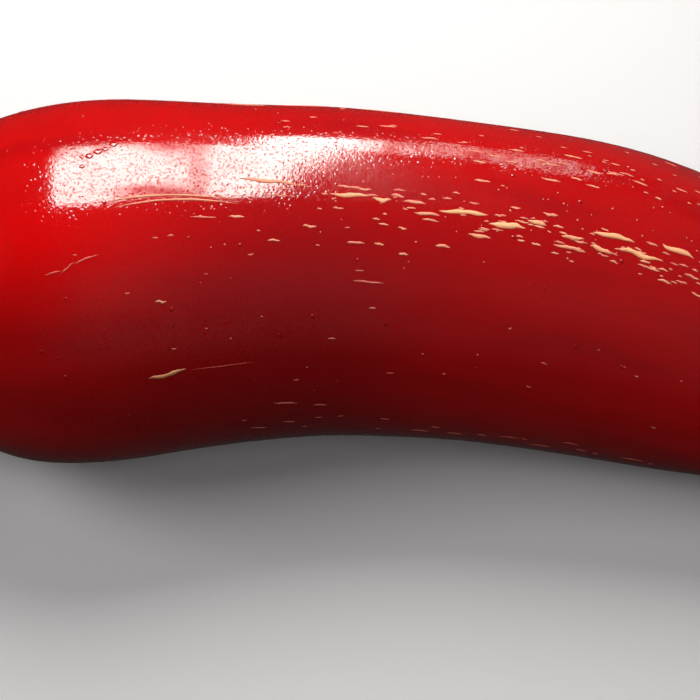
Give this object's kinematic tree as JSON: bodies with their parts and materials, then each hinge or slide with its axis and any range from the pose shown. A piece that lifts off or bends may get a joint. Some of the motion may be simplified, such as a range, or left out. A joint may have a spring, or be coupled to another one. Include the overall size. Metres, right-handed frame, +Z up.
{
  "type": "fresh red chilli pepper",
  "caption": "Blunt, plump, glossy red chilli pepper lying on its side, slightly bent, with raised cream corky scars, a green calyx and a curved stalk.",
  "frame": {"origin": "middle of the pepper's box on the surface that it lies on", "axes": "+X from the stalk's cut end towards the tip, +Z up, with the pod's inner bend towards -Y"},
  "size_m": [0.1028, 0.0374, 0.0273],
  "materials": {
    "skin": "waxy and glossy, ripe red",
    "stalk": "fresh green, finely ribbed, satin",
    "cork": "dry cream cork of the scars"
  },
  "bodies": {
    "root": {"pod": "skin", "calyx_and_stalk": "stalk"}
  },
  "joints": []
}
